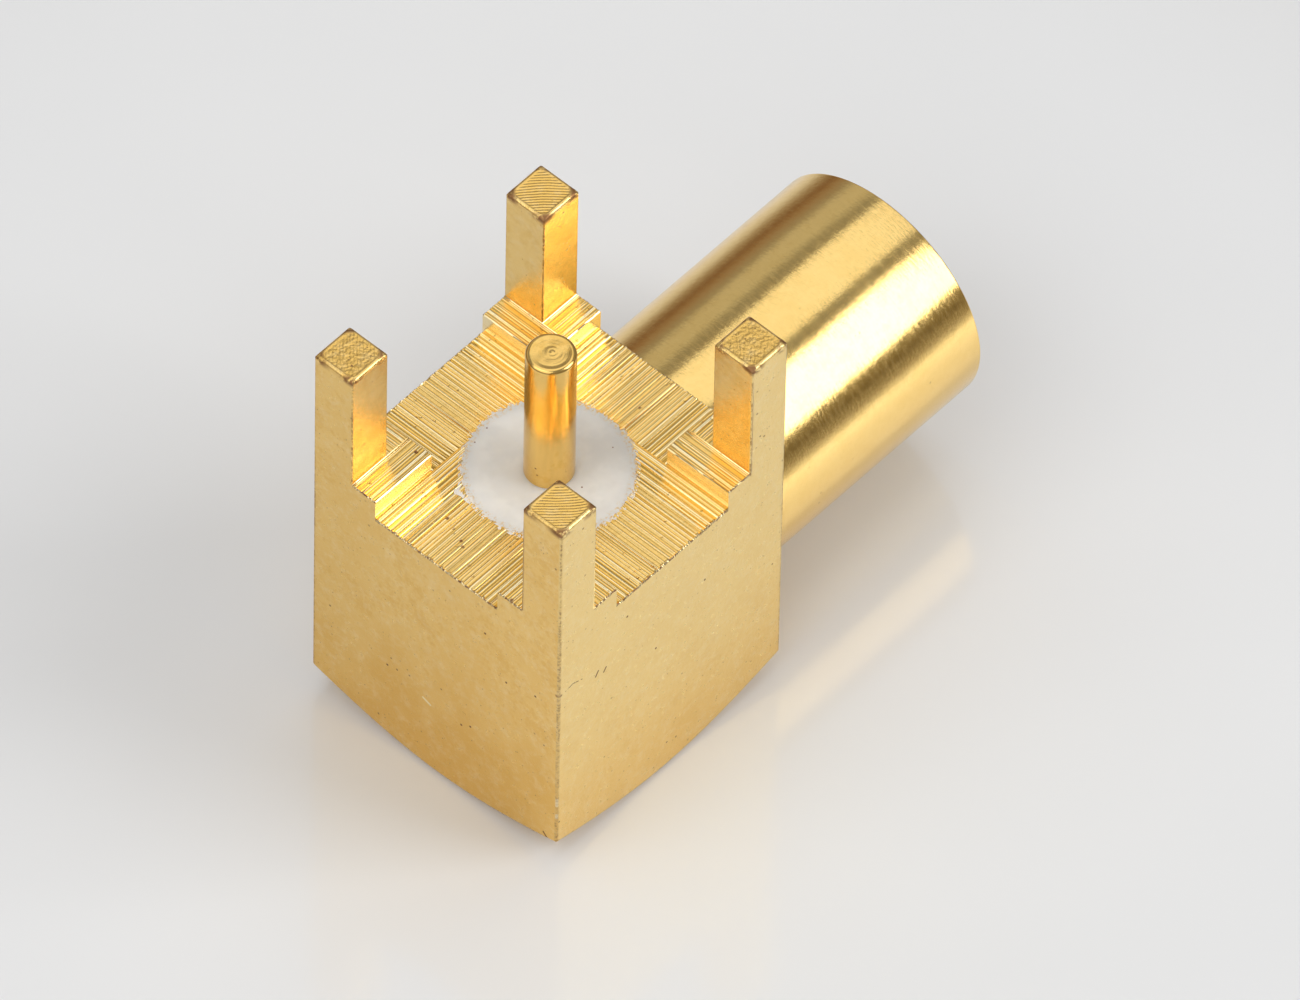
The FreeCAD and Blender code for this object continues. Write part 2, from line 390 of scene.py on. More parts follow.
class Nodes:
    """A node tree with short words for its nodes. It is n in the functions below."""

    def __init__(self, tree, coordinates="Object"):
        self.tree = tree
        self.place = self.node("TexCoord").outputs[coordinates]

    def fill(self, socket, value):
        """Link a value into a socket, or set it there if it is the same all over."""
        if isinstance(value, bpy.types.NodeSocket):
            self.tree.links.new(value, socket)
        else:
            socket.default_value = value

    def node(self, kind, inputs=None, **settings):
        """A new node with its settings, and with its inputs linked or filled."""
        made = self.tree.nodes.new("ShaderNode" + kind)
        for name, value in settings.items():
            setattr(made, name, value)
        for key, value in (inputs or {}).items():
            self.fill(made.inputs[key], value)
        return made

    def maths(self, operation, *values):
        """The result of a maths node."""
        return self.node("Math", dict(enumerate(values)), operation=operation).outputs[0]

    def plus(self, first, second):
        return self.maths("ADD", first, second)

    def minus(self, first, second):
        return self.maths("SUBTRACT", first, second)

    def times(self, first, second):
        return self.maths("MULTIPLY", first, second)

    def larger(self, first, second):
        return self.maths("MAXIMUM", first, second)

    def smaller(self, first, second):
        return self.maths("MINIMUM", first, second)

    def apart(self, first, second):
        """How far two values are apart."""
        return self.maths("ABSOLUTE", self.minus(first, second))

    def vectors(self, operation, *values):
        """The coordinates that a vector maths node makes."""
        inputs = dict(enumerate(values))
        return self.node("VectorMath", inputs, operation=operation).outputs["Vector"]

    def measure(self, operation, *values):
        """The number that a vector maths node makes."""
        inputs = dict(enumerate(values))
        return self.node("VectorMath", inputs, operation=operation).outputs["Value"]

    def spread(self, value, low, high, to_low=0.0, to_high=1.0):
        """A value stretched smoothly from one range to another, and held there."""
        inputs = {"Value": value, "From Min": low, "From Max": high, "To Min": to_low, "To Max": to_high}
        return self.node("MapRange", inputs, interpolation_type="SMOOTHSTEP").outputs[0]

    def blend(self, amount, first, second):
        """The first colour turning into the second as amount goes from 0 to 1."""
        return self.node("Mix", {0: amount, 6: first, 7: second}, data_type="RGBA").outputs[2]

    def stretched(self, scale):
        """The coordinates scaled by another amount on each axis."""
        return self.node("Mapping", {"Vector": self.place, "Scale": scale}).outputs[0]

    def noise(self, scale, detail=3.0, roughness=0.5, place=None):
        """Noise from 0 to 1 with grains of about 1 / scale metres."""
        place = self.place if place is None else place
        inputs = {"Vector": place, "Scale": scale, "Detail": detail, "Roughness": roughness}
        return self.node("TexNoise", inputs).outputs[0]

    def pits(self, scale, size):
        """1 in small scattered pits and 0 elsewhere."""
        cells = self.node("TexVoronoi", {"Vector": self.place, "Scale": scale})
        some = self.spread(self.noise(0.35 * scale), 0.52, 0.60)
        return self.times(self.spread(cells.outputs["Distance"], size, 0.4 * size), some)

    def parts(self):
        """The x, y and z of the coordinates."""
        return self.node("SeparateXYZ", {"Vector": self.place}).outputs

    def radius(self):
        """Distance from the tail pin's axis."""
        return self.measure("LENGTH", self.vectors("MULTIPLY", self.place, (1, 1, 0)))

    def bump(self, height, distance):
        """A normal bent by a height from 0 to 1 that stands for this distance."""
        return self.node("Bump", {"Height": height, "Distance": distance}).outputs[0]


class Finish(Nodes):
    """The nodes of a new material."""

    def __init__(self, name):
        self.material = bpy.data.materials.new(name)
        self.material.use_nodes = True
        super().__init__(self.material.node_tree)

    def done(self, **values):
        """The material, with its shader's inputs filled. Their names here have _ for a space."""
        shader = self.tree.nodes["Principled BSDF"]
        for key, value in values.items():
            self.fill(shader.inputs[key.replace("_", " ")], value)
        return self.material


def gold(name, colours, marks, depth, roughness, mottle, pit_share, pit_size=0.11, wear=None, rim=None,
         rubbed_and_highlight=0.0, streaks=0.0, peel=0.35, least_deep=0.0, levels=()):
    """Plated brass. marks makes the pattern of the tool's marks, and depth is their height. A finish
    with wear also gets painted shade on its -x face and toward the bottom, and painted light on its -y
    face.
    """
    n = Finish(name)
    mark = marks(n)
    clouds = n.noise(900, 3.0, 0.6)
    patches = n.noise(3200, 3.0, 0.6)
    grain = n.noise(9000, 5.0, 0.65)
    tone = n.plus(n.plus(n.times(clouds, 0.35), n.times(grain, 0.35)), n.times(patches, 0.3))
    deep = n.times(n.spread(tone, 0.42, 0.60), mottle)
    if least_deep:
        deep = n.larger(deep, least_deep)
    if wear is not None:
        # Painted shade: deeper gold on the -x face and toward the bottom.
        deep = n.larger(deep, painted_shade_sides(n))
    if rim is not None:
        deep = n.larger(deep, burnished(n, rim))
    base = n.blend(deep, colours.gold, colours.deep_gold)
    if wear is not None:
        # Painted light: paler gold on the face that looks along -y, where the key softbox falls.
        base = n.blend(painted_key_light_side(n), base, colours.key_lit_gold)
        base = n.blend(pale_marks(n), base, colours.rubbed_and_highlight)
    # Where the marks rise the colour turns paler: painted highlight on the step walls, and on the torn
    # edges partly rubbed metal, partly painted highlight.
    if rubbed_and_highlight:
        base = n.blend(n.spread(mark, 0.25, 0.5, 0.0, rubbed_and_highlight), base, colours.rubbed_and_highlight)
    if levels:
        low = depth_below(n, levels)
        # Painted reflection: the bottoms of the milled lines take the groove colour, where gold mirrors
        # gold. Painted highlight: the raised edges take the rubbed colour.
        base = n.blend(n.spread(low, -0.001 * MM, 0.003 * MM), base, colours.groove)
        base = n.blend(n.spread(low, 0.0, -0.003 * MM), base, colours.rubbed_and_highlight)
    dirt = n.times(n.pits(3300, pit_size), pit_share)
    if wear is not None:
        dirt = n.larger(n.larger(dirt, wear(n)), face_marks(n))
    base = n.blend(dirt, base, colours.tarnish)
    polish = n.plus(n.plus(roughness, n.times(grain, 0.12)), n.times(dirt, 0.3))
    if streaks:
        polish = n.plus(polish, n.spread(mark, 0.38, 0.68, 0.0, streaks))
    height = n.plus(mark, n.times(grain, peel))
    if levels:
        crumbs = n.pits(6500, 0.22)
        height = n.minus(height, n.times(crumbs, 3.0))
    height = n.minus(height, dirt)
    return n.done(Base_Color=base, Metallic=1.0, Roughness=polish, Normal=n.bump(height, depth))


def depth_below(n, levels):
    """How far a point of a milled surface lies below the level that it was cut to."""
    _, _, z = n.parts()
    floor, seat = levels
    on_pad = n.maths("GREATER_THAN", z, 0.5 * (floor + seat))
    return n.minus(n.plus(floor, n.times(on_pad, seat - floor)), z)


def burnished(n, rim):
    """Deeper gold where the drill tore the metal round the insulator's pocket."""
    near = n.spread(n.radius(), rim + 0.17 * MM, rim + 0.02 * MM)
    return n.times(near, n.spread(n.noise(9000, 4.0, 0.7), 0.38, 0.58))


def plain_marks(n):
    """The fine orange peel of drawn and tumbled bar."""
    return n.noise(16000, 4.0, 0.7)


def lines_along(axis):
    """Fine milled lines along the x or the y axis, or level ones on an upright wall."""
    scale = {"x": (300, 52000, 300), "y": (52000, 300, 300), "level": (300, 300, 40000)}[axis]

    def marks(n):
        return n.noise(1.0, 2.0, 0.6, n.stretched(scale))
    return marks


def rings_upright(n):
    """Fine rings about the tail pin's axis."""
    across = n.node("CombineXYZ", {"X": n.times(n.radius(), 26000.0)}).outputs[0]
    slow = n.stretched((900, 900, 900))
    return n.noise(1.0, 2.0, 0.6, n.vectors("ADD", across, slow))


def rings_level(n):
    """Fine rings about the barrel's axis."""
    return n.noise(1.0, 3.0, 0.65, n.stretched((24000, 5000, 5000)))


def spots(n, centres, radius):
    """1 inside small spots at the given places, in millimetres."""
    inside = 0.0
    for centre in centres:
        away = n.measure("DISTANCE", n.place, Vector(centre) * MM)
        inside = n.larger(inside, n.spread(away, radius, 0.5 * radius))
    return inside


def scratch(n, start, end, width):
    """1 on a thin line between two places, in millimetres."""
    a, b = Vector(start) * MM, Vector(end) * MM
    from_start = n.vectors("SUBTRACT", n.place, a)
    along = n.measure("DOT_PRODUCT", from_start, (b - a) / (b - a).length_squared)
    held = n.node("Math", {0: along, 1: 1.0}, operation="MULTIPLY", use_clamp=True).outputs[0]
    nearest = n.node("VectorMath", {0: b - a, "Scale": held}, operation="SCALE").outputs[0]
    return n.spread(n.measure("DISTANCE", from_start, nearest), width, 0.4 * width)


def scratches(n, inside, ends, width):
    """Scratches between pairs of places, added to another mask."""
    for start, end in ends:
        inside = n.larger(inside, scratch(n, start, end, width))
    return inside


def painted_shade_sides(n):
    """Painted shade: deeper gold on the side across from the barrel and toward the plain end, where the
    faces mirror the shaded floor.
    """
    x, _, z = n.parts()
    plain_side = n.spread(x, -2.95 * MM, -2.99 * MM, 0.0, 0.5)
    low = n.spread(z, 4.2 * MM, 0.0, 0.0, 0.75)
    cloud = n.spread(n.noise(700, 3.0, 0.6), 0.3, 0.7, 0.6, 1.2)
    return n.times(n.plus(plain_side, low), cloud)


def painted_key_light_side(n):
    """Painted light: paler gold on the face that looks along -y, where the key softbox falls, less of it
    toward the bottom.
    """
    _, y, z = n.parts()
    side = n.spread(y, -2.95 * MM, -2.99 * MM, 0.0, 0.75)
    return n.times(side, n.spread(z, 0.5 * MM, 4.5 * MM, 0.35, 1.0))


def pale_marks(n):
    """Rubbed flecks on the drawn faces, and the fresh scratches."""
    flecks = n.spread(n.noise(4200, 5.0, 0.75), 0.45, 0.70, 0.0, 0.24)
    return scratches(n, flecks, PALE_SCRATCHES, 0.04 * MM)


def face_marks(n):
    """The pits, ticks and the hairline that the two front faces carry."""
    dark = n.larger(spots(n, FACE_PITS, 0.032 * MM), spots(n, [CORNER_PIT], 0.075 * MM))
    hairline = scratches(n, 0.0, zip(HAIRLINE, HAIRLINE[1:]), 0.016 * MM)
    dark = n.larger(dark, n.times(n.pits(8500, 0.17), 0.55))
    dark = n.larger(dark, n.times(hairline, n.spread(n.noise(12000), 0.42, 0.55)))
    return scratches(n, dark, TICKS, 0.024 * MM)


def worn_corners(block):
    """Brown specks along the bar's corners, the legs' edges and tips and the channels' ends."""
    half, inner = block.half, block.inner

    def beside(n, value):
        """Distance from the nearer side of a leg."""
        return n.smaller(n.apart(value, inner), n.apart(value, half))

    def mask(n):
        x, y, z = n.parts()
        x, y = n.maths("ABSOLUTE", x), n.maths("ABSOLUTE", y)
        both = n.smaller(x, y)
        corner = n.spread(both, half - 0.07 * MM, half - 0.03 * MM)
        fade = n.spread(z, block.seat + 1.0 * MM, block.floor - 0.2 * MM, 0.3, 1.0)
        corner = n.times(corner, fade)
        edges = n.spread(n.larger(beside(n, x), beside(n, y)), 0.04 * MM, 0.015 * MM)
        edges = n.times(edges, n.maths("GREATER_THAN", z, block.seat - 0.05 * MM))
        lip = n.spread(n.apart(z, block.floor - 0.01 * MM), 0.035 * MM, 0.01 * MM)
        lip = n.times(lip, n.maths("LESS_THAN", both, block.channel))
        specks = n.times(n.spread(n.noise(14000, 3.0, 0.7), 0.44, 0.58),
                         n.spread(n.noise(1800, 2.0, 0.5), 0.38, 0.6, 0.45, 1.0))
        worn = n.times(n.larger(edges, lip), specks)
        line = n.times(corner, n.spread(specks, 0.0, 1.0, 0.2, 0.62))
        worn = n.larger(n.times(worn, 0.7), line)
        off_x, off_y = n.minus(x, block.leg_middle), n.minus(y, block.leg_middle)
        far = n.maths("POWER", n.plus(n.times(off_x, off_x), n.times(off_y, off_y)), 0.5)
        tips = n.times(n.spread(far, 0.45 * MM, 0.56 * MM),
                       n.spread(z, block.top - 0.2 * MM, block.top - 0.05 * MM))
        tips = n.times(tips, n.spread(n.noise(6000, 3.0, 0.6), 0.40, 0.54))
        return n.times(n.larger(worn, tips), 0.85)
    return mask


def torn_specks(n):
    """Dark specks all along a torn edge."""
    return n.spread(n.noise(15000, 2.0, 0.6), 0.48, 0.56, 0.0, 0.9)


def cut_grain(n):
    """Fine rings about the tail pin's axis, broken up by grain on two of the four leg tips."""
    x, y, _ = n.parts()
    clean = n.maths("GREATER_THAN", n.times(x, y), 0.0)
    grain = n.times(n.noise(24000, 3.0, 0.7), n.spread(clean, 0.0, 1.0, 1.0, 0.25))
    return n.plus(n.times(rings_upright(n), 0.5), grain)


def ptfe(name, colours, rim):
    """Waxy white fluoropolymer, with brass torn into it near the rim."""
    n = Finish(name)
    clouds = n.noise(1400, 3.0, 0.6)
    grain = n.noise(11000, 4.0, 0.6)
    base = n.blend(n.spread(clouds, 0.35, 0.65), shaded(colours.ptfe, 0.90), colours.ptfe)
    away = n.radius()
    near = n.times(n.spread(away, rim - 0.2 * MM, rim - 0.02 * MM),
                   n.spread(away, rim + 0.05 * MM, rim, 0.15, 1.0))
    flakes = n.times(near, n.spread(n.noise(15000, 4.0, 0.75), 0.49, 0.61))
    base = n.blend(flakes, base, colours.deep_gold)
    specks = n.larger(n.pits(2200, 0.05), spots(n, SPECKS, 0.022 * MM))
    base = n.blend(specks, base, colours.tarnish)
    height = n.plus(n.times(clouds, 0.6), n.times(grain, 0.4))
    return n.done(Base_Color=base, Roughness=n.spread(grain, 0.3, 0.7, 0.32, 0.5), IOR=1.36,
                  Subsurface_Weight=n.spread(away, rim - 0.1 * MM, rim, 0.6, 0.0),
                  Subsurface_Scale=0.5 * MM, Subsurface_Radius=(1.0, 0.9, 0.75), Metallic=flakes,
                  Normal=n.bump(height, 0.004 * MM))


def shaded(shade, share):
    """A colour made darker."""
    return (*(share * part for part in shade[:3]), 1.0)


# Body block

class Block:
    """Builds the body's skin from grids that share their edges.

    run is the axis that a cut goes along, 0 for x and 1 for y, and signs names a corner.
    """

    DRAWN, MILLED_X, MILLED_Y, WALL, TURNED, TORN, STEP = range(7)

    # Marks fade out this near to an edge or a wall, where a floor also curves up by the rise
    EDGE = 0.02 * MM
    FOOT_RISE = 0.009 * MM

    # Height of the metal's edge round the insulator, and how far a wall goes below a floor
    LIP = 0.03 * MM
    ROOT = 0.01 * MM

    # The last rows of an arm lie this far from its outer end
    LAST_ROWS = (0.04 * MM, 0.016 * MM)

    # The broken edge under an outer face, the rows beside it, and the edge of the end face
    LOW_BREAK = 0.009 * MM
    LOW_RISE = 0.004 * MM
    LOW_ROW = 0.03 * MM
    END_BREAK = 0.05 * MM

    # A distance from an edge that is out of its reach
    FAR = 1.0

    # One in this many points of a torn edge goes on down the outer face
    THINNING = 7

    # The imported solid's inner faces above this height are its bores
    BORES_BOTTOM = 1.0 * MM

    def __init__(self, sizes, spigot_wall):
        self.sizes = sizes
        self.skin = Skin()
        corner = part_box("body_block")[1]
        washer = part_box("base_insulator")[1]
        self.half, self.top = corner.x, corner.z
        self.floor, self.pocket = washer.z, washer.x
        self.seat = mount("pcb_seat")["pos_m"][2]
        self.channel = self.half - sizes.pad_width
        self.inner = self.half - sizes.leg_width
        self.leg_middle = (self.half + self.inner) / 2
        self.side_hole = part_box("barrel_insulator")[1].y + spigot_wall
        self.rng = np.random.default_rng(sizes.seed)
        self.fringe = self.rng.uniform(-1, 1, 360)
        self.across = np.linspace(-self.half, self.half, 4000)
        away = np.abs(self.across)
        busy = edge_fade(away - 0.5 * self.channel, 0.2 * self.channel)
        busy = np.where(away < self.channel, busy, 0.4)
        pitch, width = sizes.line_pitch, sizes.line_width
        self.profile = cutter_marks(self.rng, self.across, pitch, width)
        self.profile += 1.3 * busy * cutter_marks(self.rng, self.across, 1.9 * pitch, 1.8 * width)

    def rim(self, points):
        """Ragged radius of the metal round the insulator, toward the points."""
        turn = np.arctan2(points[..., 1], points[..., 0])
        place = (turn / (2 * pi) % 1) * len(self.fringe)
        low = np.floor(place).astype(int)
        part = place - low
        ring = self.fringe
        value = ring[low % len(ring)] * (1 - part) + ring[(low + 1) % len(ring)] * part
        slow = np.sin(7 * turn + 1.3) * np.sin(3 * turn)
        return self.pocket + self.sizes.fringe * (0.55 * value + 0.3 * slow - 0.35)

    def laid(self, along, across, z, run):
        """Points from their places along and across a cut."""
        x, y = (along, across) if run == 0 else (across, along)
        return np.stack(np.broadcast_arrays(x, y, z), -1)

    def placed(self, flat, z, signs):
        """Points of a corner from their x and y in the corner where both are positive."""
        return np.column_stack([flat * signs, np.full(len(flat), z)])

    def milled(self, across, along, inward):
        """Height of a milled surface over its level. Every pass has the same cutter's marks."""
        pitch = self.sizes.line_pitch
        slow = 0.85 + 0.15 * lattice(self.rng, across / (3 * pitch), along / (12 * pitch))
        height = self.sizes.line_depth * np.interp(across, self.across, self.profile) * slow
        return height * edge_fade(inward, self.EDGE)

    def foot(self, distance):
        """How far a milled surface curves up at a distance from a wall."""
        return self.FOOT_RISE * np.clip(1 - distance / self.EDGE, 0, 1) ** 2

    def arm(self, sign, run):
        """One arm of the crossing channels, from the insulator's rim to the outer face."""
        sizes = self.sizes
        across = np.linspace(-self.channel, self.channel, sizes.columns)[:, None]
        reach = np.abs(across)
        for _ in range(3):
            radius = self.rim(self.laid(sign * reach, across, 0.0, run))
            reach = np.sqrt(np.maximum(radius ** 2 - across ** 2, 0))
        beyond = np.maximum(self.channel, reach)
        # The -x arm takes that half of the crossing, and the arms along y the other half
        if run == 0:
            start = beyond if sign > 0 else reach
        else:
            start = np.where(across > 0, reach, beyond)
        end = self.half - sizes.edge_break
        before, last = (end - distance for distance in self.LAST_ROWS)
        steps = np.append(np.linspace(0, 1, sizes.rows), [1, 1])[None, :]
        along = start + (before - start) * steps
        along[:, 1] = start[:, 0] + self.EDGE
        along[:, -2:] = last, end
        inward = np.where(start > reach, along - start, self.FAR)
        inward[[0, -1]] = 0.0
        height = self.milled(across, along, inward)
        z = self.floor + height + self.foot(self.channel - np.abs(across))
        points = self.laid(sign * along, across, z, run)
        finish = (self.MILLED_X, self.MILLED_Y)[run]
        upper = points[:, 0]
        self.skin.wall([upper, upper - [0, 0, self.LIP]], finish, toward(run, -sign))
        teeth = tool_lines(self.rng, across[:, 0], sizes.burr_pitch)
        points[:, -1, 2] += 0.3 * sizes.burr_height * np.clip(teeth, -0.2, 1)
        self.skin.grid(points, finish, toward(2, 1))
        self.outer_wall(points[:, -1], sign, run)

    def outer_wall(self, top, sign, run):
        """Everything under an upper edge: torn edge, outer face, turned cone and end face."""
        facing = toward(run, sign)
        teeth = np.abs(tool_lines(self.rng, top[:, 1 - run], self.sizes.burr_pitch))
        below = top.copy()
        below[:, run] = sign * self.half
        below[:, 2] -= self.sizes.burr_height * (0.25 + 0.75 * teeth)
        self.skin.wall([top, below], self.TORN, facing)
        picks = np.unique(np.append(np.arange(0, len(top), self.THINNING), len(top) - 1))
        guard = at_height(below[picks], below[:, 2].min() - self.EDGE)
        self.skin.fans(below, guard, picks, self.DRAWN, facing)
        hole = np.zeros(len(picks))
        if run == 0 and sign > 0:
            hole = np.sqrt(np.maximum(self.side_hole ** 2 - guard[:, 1] ** 2, 0))
        self.skin.wall([guard, at_height(guard, jack_height() + hole)], self.DRAWN, facing)
        self.under(at_height(guard, jack_height() - hole), facing)

    def under(self, lower, facing):
        """The lower part of an outer face with the cone and end face below it."""
        end_radius = self.sizes.end_face_radius
        radius = np.hypot(lower[:, 0], lower[:, 1])
        direction = lower * [1, 1, 0] / radius[:, None]
        slope = tan(self.sizes.end_cone_angle)
        up = toward(2, 1)
        foot = at_height(lower, (radius - end_radius) * slope)
        corner = foot - self.LOW_BREAK * direction + self.LOW_RISE * up
        cone = foot - self.LOW_ROW * (direction + slope * up)
        ring = direction * end_radius + self.LOW_RISE * up
        flat = direction * (end_radius - self.END_BREAK)
        above = [foot + rows * self.LOW_ROW * up for rows in (2, 1)]
        self.skin.wall([lower, *above, corner], self.DRAWN, facing)
        self.skin.wall([corner, cone, ring], self.TURNED, facing - 2 * up)
        inside = [flat * (1 - part) for part in np.linspace(0, 1, 9)]
        self.skin.wall([ring, *inside], self.TURNED, -up)

    def pad(self, signs):
        """The seating pad of one corner: two milled strips, their steps and outer faces."""
        whole = 0 if signs[0] < 0 else 1
        for run in (0, 1):
            self.strip(signs, run, run == whole)
        for run in (0, 1):
            self.step(signs, run)

    def strip(self, signs, run, whole):
        """One milled strip of a pad with the outer face at its end. A whole one takes in the corner."""
        bevel = self.sizes.edge_break
        out, side = signs[run], signs[1 - run]
        start = self.channel + bevel if whole else self.inner
        across = np.linspace(self.channel + bevel, self.inner, 100)[:, None]
        along = np.linspace(start, self.half - bevel, 10)[None, :]
        height = self.milled(across, along, self.FAR if whole else along - start)
        to_leg = self.inner - across
        z = self.seat + height * edge_fade(to_leg, self.EDGE) + self.foot(to_leg)
        points = self.laid(out * along, side * across, z, run)
        self.skin.grid(points, (self.MILLED_X, self.MILLED_Y)[run], toward(2, 1))
        self.outer_wall(self.to_step(points[:, -1], side, 1 - run), out, run)
        self.fill_step(points[0], side, 1 - run)
        if whole:
            self.fill_step(points[:, 0], out, run)

    def to_step(self, row, sign, axis):
        """An end row whose first point reaches the plane of the step."""
        row = np.vstack([row[:1], row])
        row[0, axis] = sign * self.channel
        row[0, 2] -= self.sizes.edge_break
        return row

    def fill_step(self, row, sign, axis):
        """The broken edge and the wall of a step, under an edge of its pad."""
        face = row.copy()
        face[:, axis] = sign * self.channel
        face[:, 2] -= self.sizes.edge_break * self.rng.uniform(0.5, 1.6, len(row))
        guard = face - [0, 0, self.EDGE]
        foot = at_height(face, self.floor - self.ROOT)
        self.skin.wall([row, face, guard, foot], self.STEP, toward(axis, -sign))

    def step(self, signs, run):
        """Closes the outer end of a step where the pad's broken edge leaves a gap."""
        bevel = self.sizes.edge_break
        along = signs[run] * np.array([self.half - bevel, self.half])
        top = self.laid(along, signs[1 - run] * self.channel, self.seat - bevel, run)
        low = at_height(top, self.floor - self.ROOT)
        self.skin.wall([top, low], self.STEP, toward(1 - run, -signs[1 - run]))

    def leg_outline(self):
        """Outline of a leg in the corner where x and y are both positive, and its drawn corner."""
        low, high, bevel = self.inner, self.half, self.sizes.edge_break
        radius = self.sizes.corner_radius
        turns = np.linspace(pi / 2, 0, 9)
        arc = high - radius + radius * np.stack([np.cos(turns), np.sin(turns)], -1)
        points = [(low, high - bevel), (low + bevel, high), *arc, (high, low + bevel),
                  (high - bevel, low), (low + bevel, low), (low, low + bevel)]
        return np.array(points), arc

    def finer(self, outline):
        """The outline with extra points on its long sides."""
        points = []
        for a, b in zip(outline, np.roll(outline, -1, axis=0)):
            parts = max(1, int(np.hypot(*(b - a)) / (0.03 * MM)))
            points += [a + (b - a) * k / parts for k in range(parts)]
        return np.array(points)

    def tip_reach(self, u, v, inset, corner):
        """Distance from a leg's axis to its rounded square, toward the point u, v."""
        half = 0.5 * self.sizes.leg_width - inset
        size = np.hypot(u, v)
        a, b = np.abs(u) / size, np.abs(v) / size
        straight = half / np.maximum(a, b)
        middle = half - corner
        along = (a + b) * middle
        bent = along + np.sqrt(np.maximum(along ** 2 - 2 * middle ** 2 + corner ** 2, 0))
        return np.where(np.minimum(a, b) * straight > middle, bent, straight)

    def leg(self, signs):
        """One leg with its rounded tip, and the outer faces under it."""
        sizes = self.sizes
        low, high, middle = self.inner, self.half, self.leg_middle
        outline, arc = self.leg_outline()
        outline = self.finer(outline)
        off = outline - middle
        whole = np.ones(len(off))
        rings = [(whole, self.seat - self.EDGE), (whole, self.top - 2 * sizes.tip_round)]
        for turn in np.linspace(0, pi / 2, 8):
            inset, corner = sizes.tip_round * (1 - cos(turn)), sizes.tip_corner * sin(turn)
            share = np.minimum(1, self.tip_reach(*off.T, inset, corner) / np.hypot(*off.T))
            rings.append((share, self.top - sizes.tip_round * (1 - sin(turn))))
        rows = [self.placed(middle + share[:, None] * off, z, signs) for share, z in rings]
        points = np.stack(rows)
        points = np.concatenate([points, points[:, :1]], 1)
        for k, ends in enumerate(zip(outline, np.roll(outline, -1, axis=0))):
            part = points[:, k:k + 2].copy()
            facing = part.mean((0, 1)) - [*(signs * middle), 0]
            ends = np.array(ends)
            outside = ends.max(1).min() > high - 0.5 * sizes.edge_break or ends.min() > middle
            if outside:
                part[0, :, 2] = self.seat
            self.skin.grid(part, self.DRAWN if outside else self.WALL, facing * [1, 1, 0])
        self.tip(signs)
        self.foot_corners(signs)
        side = np.column_stack([np.linspace(low, high - sizes.corner_radius, 8), np.full(8, high)])
        self.lower_wall(side, signs, toward(1, signs[1]))
        self.lower_wall(side[:, ::-1], signs, toward(0, signs[0]))
        self.lower_wall(arc, signs, np.array([*signs, 0.0]))

    def lower_wall(self, flat, signs, facing):
        """Outer face under a leg, from the pads' level down."""
        top = self.placed(flat, self.seat, signs)
        lower = at_height(top, jack_height())
        self.skin.wall([top, lower], self.DRAWN, facing)
        self.under(lower, facing)

    def foot_corners(self, signs):
        """Two small triangles that close the bevels of a leg at the pads' level."""
        low, high, bevel = self.inner, self.half, self.sizes.edge_break
        for points in (((low, high - bevel), (low + bevel, high), (low, high)),
                       ((high - bevel, low), (high, low + bevel), (high, low))):
            self.skin.add(self.placed(np.array(points), self.seat, signs), [(0, 1, 2)], self.DRAWN)

    def tip(self, signs):
        """The flat end of a leg with its turning marks, which are clean on two of the four."""
        sizes = self.sizes
        line = np.linspace(-1, 1, 56)
        u, v = np.meshgrid(line, line, indexing="ij")
        out = np.maximum(np.abs(u), np.abs(v))
        share = out * self.tip_reach(u, v, sizes.tip_round, sizes.tip_corner) / np.hypot(u, v)
        x, y = self.leg_middle + share * u, self.leg_middle + share * v
        rings, grit = (1.0, 0.12) if signs[0] == signs[1] else (0.5, 1.3)
        wander = lattice(self.rng, x / (0.2 * MM), y / (0.2 * MM))
        wave = np.sin(2 * pi * np.hypot(x, y) / sizes.ring_pitch + 0.8 * wander)
        lumps = lattice(self.rng, x / (0.045 * MM), y / (0.045 * MM))
        fade = edge_fade((1 - out) * 0.5 * sizes.leg_width, 0.04 * MM)
        height = sizes.ring_depth * fade * (0.5 * (rings * wave + grit * lumps) - 1.0)
        points = np.stack([signs[0] * x, signs[1] * y, self.top + height], -1)
        self.skin.grid(points, self.TURNED, toward(2, 1))

    def bores(self):
        """The hidden bores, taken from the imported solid."""
        mesh = frame["nodes"]["body_block"].data
        for face in mesh.polygons:
            x, y, z = face.center
            on_skin = max(abs(x), abs(y)) > self.half - self.ROOT
            in_corner = min(abs(x), abs(y)) > self.half - 1.5 * self.sizes.corner_radius
            if on_skin or in_corner or not self.BORES_BOTTOM <= z <= self.floor - self.ROOT:
                continue
            points = [tuple(mesh.vertices[i].co) for i in face.vertices]
            self.skin.add(points, [range(len(points))], self.TURNED)

    def build(self):
        """The whole skin."""
        for sign in (-1, 1):
            self.arm(sign, 0)
            self.arm(sign, 1)
        for sx in (-1, 1):
            for sy in (-1, 1):
                self.pad(np.array([sx, sy]))
                self.leg(np.array([sx, sy]))
        self.bores()
        return self.skin


